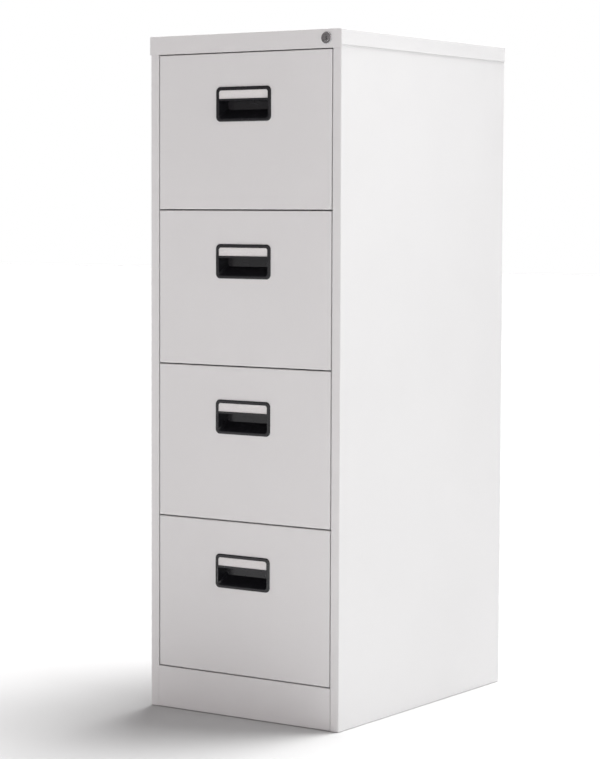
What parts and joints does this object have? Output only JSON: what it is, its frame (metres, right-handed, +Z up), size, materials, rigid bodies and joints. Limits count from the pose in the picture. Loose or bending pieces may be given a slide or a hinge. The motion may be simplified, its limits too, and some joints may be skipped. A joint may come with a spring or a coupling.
{
  "type": "vertical filing cabinet",
  "caption": "Tall narrow metal filing cabinet with stacked full-extension drawers, recessed black finger handles with label windows, and a cylinder lock in the top fascia.",
  "frame": {"origin": "on the floor plane, under the centre of the bounding box", "axes": "+Z up, -Y the drawer fronts, +X to the right when facing the drawers (the lock side)"},
  "size_m": [0.452, 0.62, 1.33],
  "materials": {
    "painted_body": "light warm grey powder coat, semi-matt, fine texture",
    "black_plastic": "glossy moulded black",
    "label_paper": "plain white card",
    "chrome": "polished chrome plate",
    "zinc_steel": "bright zinc plated steel",
    "nylon": "black nylon"
  },
  "bodies": {
    "cabinet": {"left_side_panel": "painted_body", "right_side_panel": "painted_body", "top_panel": "painted_body", "back_panel": "painted_body", "plinth": "painted_body", "front_top_rail": "painted_body", "bottom_panel": "painted_body", "floor_glides": "nylon", "runner_posts_left": "zinc_steel", "runner_posts_right": "zinc_steel", "slide_outers": "zinc_steel", "lock_housing": "chrome", "lock_nut": "zinc_steel", "lock_bar_guides": "nylon"},
    "drawer_1": {"drawer_front_1": "painted_body", "drawer_liner_1": "painted_body", "drawer_sides_1": "painted_body", "drawer_bottom_1": "painted_body", "drawer_back_1": "painted_body", "handle_1": "black_plastic", "label_card_1": "label_paper", "slide_inner_1": "zinc_steel", "lock_catch_1": "zinc_steel"},
    "slide_carriage_1": {"slide_middle_1": "zinc_steel"},
    "drawer_2": {"drawer_front_2": "painted_body", "drawer_liner_2": "painted_body", "drawer_sides_2": "painted_body", "drawer_bottom_2": "painted_body", "drawer_back_2": "painted_body", "handle_2": "black_plastic", "label_card_2": "label_paper", "slide_inner_2": "zinc_steel", "lock_catch_2": "zinc_steel"},
    "slide_carriage_2": {"slide_middle_2": "zinc_steel"},
    "drawer_3": {"drawer_front_3": "painted_body", "drawer_liner_3": "painted_body", "drawer_sides_3": "painted_body", "drawer_bottom_3": "painted_body", "drawer_back_3": "painted_body", "handle_3": "black_plastic", "label_card_3": "label_paper", "slide_inner_3": "zinc_steel", "lock_catch_3": "zinc_steel"},
    "slide_carriage_3": {"slide_middle_3": "zinc_steel"},
    "drawer_4": {"drawer_front_4": "painted_body", "drawer_liner_4": "painted_body", "drawer_sides_4": "painted_body", "drawer_bottom_4": "painted_body", "drawer_back_4": "painted_body", "handle_4": "black_plastic", "label_card_4": "label_paper", "slide_inner_4": "zinc_steel", "lock_catch_4": "zinc_steel"},
    "slide_carriage_4": {"slide_middle_4": "zinc_steel"},
    "lock_cylinder": {"lock_barrel": "chrome", "lock_cam": "zinc_steel", "lock_cam_screw": "zinc_steel"},
    "locking_bar": {"lock_bar": "zinc_steel", "lock_bar_plate": "zinc_steel", "lock_lugs": "zinc_steel"}
  },
  "joints": [
    {"name": "drawer_1_slide", "type": "slide", "parent": "cabinet", "child": "drawer_1", "axis": [0, -1, 0], "range_m": [0, 0.55]},
    {"name": "slide_carriage_1_slide", "type": "slide", "parent": "cabinet", "child": "slide_carriage_1", "axis": [0, -1, 0], "range_m": [0, 0.275]},
    {"name": "drawer_2_slide", "type": "slide", "parent": "cabinet", "child": "drawer_2", "axis": [0, -1, 0], "range_m": [0, 0.55]},
    {"name": "slide_carriage_2_slide", "type": "slide", "parent": "cabinet", "child": "slide_carriage_2", "axis": [0, -1, 0], "range_m": [0, 0.275]},
    {"name": "drawer_3_slide", "type": "slide", "parent": "cabinet", "child": "drawer_3", "axis": [0, -1, 0], "range_m": [0, 0.55]},
    {"name": "slide_carriage_3_slide", "type": "slide", "parent": "cabinet", "child": "slide_carriage_3", "axis": [0, -1, 0], "range_m": [0, 0.275]},
    {"name": "drawer_4_slide", "type": "slide", "parent": "cabinet", "child": "drawer_4", "axis": [0, -1, 0], "range_m": [0, 0.55]},
    {"name": "slide_carriage_4_slide", "type": "slide", "parent": "cabinet", "child": "slide_carriage_4", "axis": [0, -1, 0], "range_m": [0, 0.275]},
    {"name": "lock_turn", "type": "hinge", "parent": "cabinet", "child": "lock_cylinder", "pos_m": [0.1925, -0.31, 1.3125], "axis": [0, 1, 0], "range_deg": [0, 90.2]},
    {"name": "lock_bar_slide", "type": "slide", "parent": "cabinet", "child": "locking_bar", "axis": [0, 0, 1], "range_m": [-0.01556, 0]}
  ],
  "couplings": [
    {"joint": "slide_carriage_1_slide", "follows": "drawer_1_slide", "ratio": 0.5},
    {"joint": "slide_carriage_2_slide", "follows": "drawer_2_slide", "ratio": 0.5},
    {"joint": "slide_carriage_3_slide", "follows": "drawer_3_slide", "ratio": 0.5},
    {"joint": "slide_carriage_4_slide", "follows": "drawer_4_slide", "ratio": 0.5},
    {"joint": "lock_turn", "follows": "lock_bar_slide", "rad_per_m": -100.97}
  ]
}
